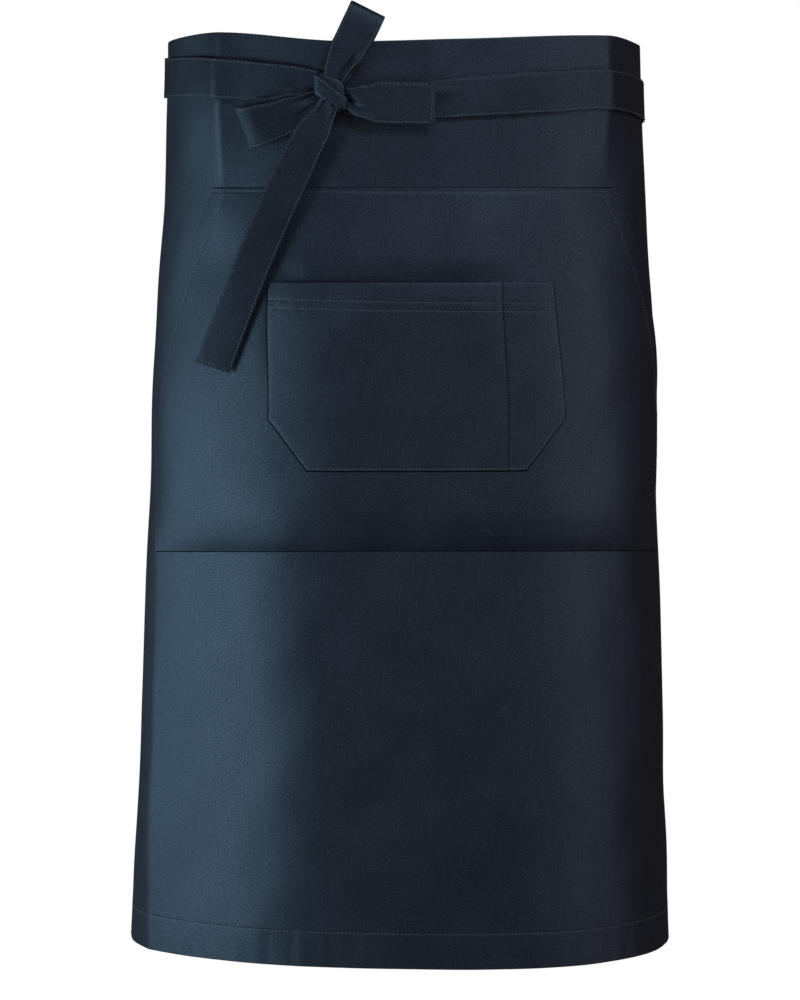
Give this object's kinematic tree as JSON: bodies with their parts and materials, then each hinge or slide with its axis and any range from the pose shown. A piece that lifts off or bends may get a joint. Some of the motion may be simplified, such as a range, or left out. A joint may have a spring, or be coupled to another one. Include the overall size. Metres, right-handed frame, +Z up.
{
  "type": "long waist apron",
  "caption": "Long waist apron in its worn form: wrap panel open behind, large side-entry hand pocket, smaller order pocket with pen slot, and ties knotted in a bow at the front",
  "frame": {"origin": "on the wearer's middle axis at the waist, level with the bow's knot, at the mount named waist", "axes": "+Z points up along the wearer's body and along the apron's length, -Y is the wearer's front, +X is to the right as seen from the front"},
  "size_m": [0.4504, 0.28, 0.7817],
  "materials": {
    "panel_cloth": "dark navy cotton and polyester twill, soft sheen on the raised ribs",
    "pocket_cloth": "the same dark navy twill, edges topstitched in the cloth's own colour",
    "tie_cloth": "the same dark navy twill folded double, edges topstitched"
  },
  "bodies": {
    "root": {"skirt_panel": "panel_cloth", "hand_pocket": "pocket_cloth", "order_pocket": "pocket_cloth", "left_tie": "tie_cloth", "right_tie": "tie_cloth", "knot": "tie_cloth", "side_loop": "tie_cloth", "upper_loop": "tie_cloth", "long_tail": "tie_cloth", "short_tail": "tie_cloth"}
  },
  "joints": []
}
